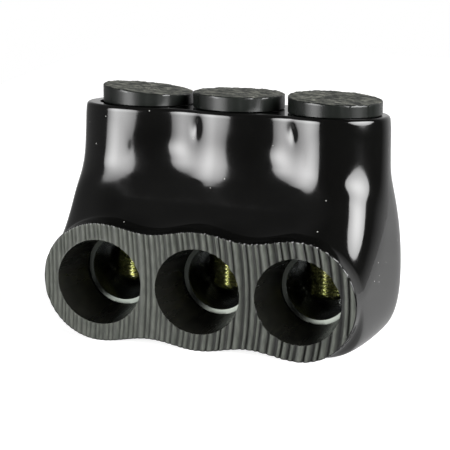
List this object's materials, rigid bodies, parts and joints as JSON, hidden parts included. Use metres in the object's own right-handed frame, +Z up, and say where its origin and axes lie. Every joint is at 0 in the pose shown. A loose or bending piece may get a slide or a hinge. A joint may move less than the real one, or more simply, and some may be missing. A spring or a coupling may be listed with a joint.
{
  "type": "insulated multi-tap connector",
  "caption": "Insulated cable tap: a dipped flexible cover over an aluminium block, with cable entries in front and capped screw wells on top.",
  "frame": {"origin": "centre of the footprint, on the flat base that the connector stands on", "axes": "+X along the row of cable ports, the cable entries face -Y, +Z up through the screw wells to the caps"},
  "size_m": [0.0694, 0.0352, 0.0516],
  "materials": {
    "glossy_black_dip": "glossy dipped flexible plastic",
    "bare_aluminium": "machined",
    "plated_screw": "plated",
    "dull_black_rubber": "dull moulded, rough on top"
  },
  "bodies": {
    "body": {"insulating_cover": "glossy_black_dip", "connector_block": "bare_aluminium"},
    "screw_1": {"set_screw_1": "plated_screw"},
    "cap_1": {"access_cap_1": "dull_black_rubber"},
    "screw_2": {"set_screw_2": "plated_screw"},
    "cap_2": {"access_cap_2": "dull_black_rubber"},
    "screw_3": {"set_screw_3": "plated_screw"},
    "cap_3": {"access_cap_3": "dull_black_rubber"}
  },
  "joints": [
    {"name": "screw_feed_1", "type": "slide", "parent": "body", "child": "screw_1", "axis": [0, 0, 1], "range_m": [-0.0007, 0.011]},
    {"name": "cap_pull_1", "type": "slide", "parent": "body", "child": "cap_1", "axis": [0, 0, 1], "range_m": [0, 0.02]},
    {"name": "screw_feed_2", "type": "slide", "parent": "body", "child": "screw_2", "axis": [0, 0, 1], "range_m": [-0.0007, 0.011]},
    {"name": "cap_pull_2", "type": "slide", "parent": "body", "child": "cap_2", "axis": [0, 0, 1], "range_m": [0, 0.02]},
    {"name": "screw_feed_3", "type": "slide", "parent": "body", "child": "screw_3", "axis": [0, 0, 1], "range_m": [-0.0007, 0.011]},
    {"name": "cap_pull_3", "type": "slide", "parent": "body", "child": "cap_3", "axis": [0, 0, 1], "range_m": [0, 0.02]}
  ]
}
